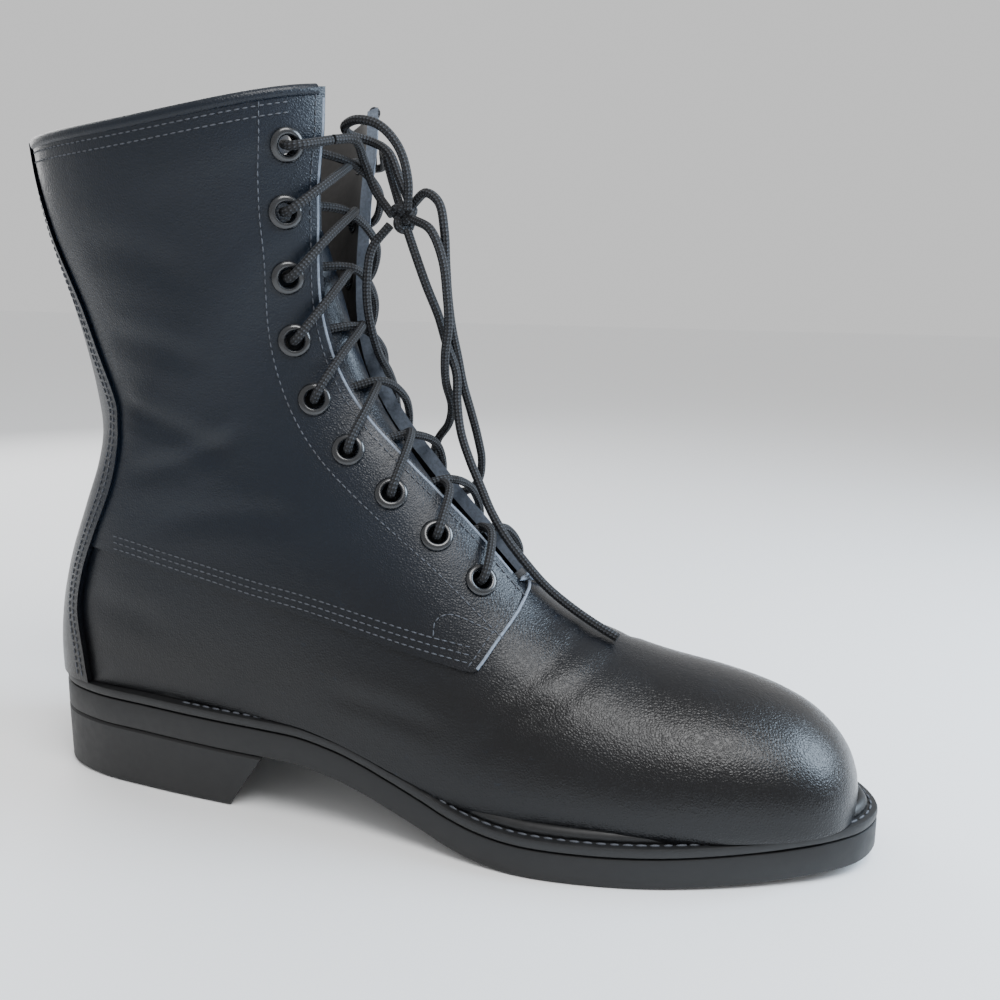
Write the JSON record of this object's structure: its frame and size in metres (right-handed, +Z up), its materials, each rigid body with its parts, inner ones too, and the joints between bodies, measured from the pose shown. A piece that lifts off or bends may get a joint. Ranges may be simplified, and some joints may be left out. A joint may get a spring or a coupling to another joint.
{
  "type": "combat_boot",
  "caption": "Right lace-up combat boot with a tall leather upper, derby facings, eyelets, a falling lace, a welted sole and a hollow-breasted block heel",
  "frame": {"origin": "On the floor under the middle of the heel's round seat, 40 mm in front of the heel's back", "axes": "+X to the toe, +Y to the wearer's left, which is the medial side, +Z up"},
  "size_m": [0.2966, 0.1047, 0.2356],
  "materials": {
    "upper_leather": "smooth black leather with a fine grain",
    "sole_rubber": "black rubber, matt",
    "welt": "black stained welt, stitched",
    "insole_leather": "plain undyed leather board",
    "lace_cord": "black braided round cord",
    "eyelet_enamel": "black enamel"
  },
  "bodies": {
    "root": {"outsole": "sole_rubber", "heel": "sole_rubber", "welt": "welt", "insole": "insole_leather", "upper": "upper_leather", "tongue": "upper_leather", "backstay": "upper_leather", "lace_crossings": "lace_cord", "eyelet_lateral_1": "eyelet_enamel", "eyelet_lateral_2": "eyelet_enamel", "eyelet_lateral_3": "eyelet_enamel", "eyelet_lateral_4": "eyelet_enamel", "eyelet_lateral_5": "eyelet_enamel", "eyelet_lateral_6": "eyelet_enamel", "eyelet_lateral_7": "eyelet_enamel", "eyelet_lateral_8": "eyelet_enamel", "eyelet_lateral_9": "eyelet_enamel", "eyelet_medial_1": "eyelet_enamel", "eyelet_medial_2": "eyelet_enamel", "eyelet_medial_3": "eyelet_enamel", "eyelet_medial_4": "eyelet_enamel", "eyelet_medial_5": "eyelet_enamel", "eyelet_medial_6": "eyelet_enamel", "eyelet_medial_7": "eyelet_enamel", "eyelet_medial_8": "eyelet_enamel", "eyelet_medial_9": "eyelet_enamel", "lace_knot": "lace_cord", "lace_strand_lateral": "lace_cord", "lace_strand_medial": "lace_cord", "lace_loop_upper": "lace_cord", "lace_loop_lower": "lace_cord", "lace_end_long": "lace_cord", "lace_end_short": "lace_cord"}
  },
  "joints": []
}
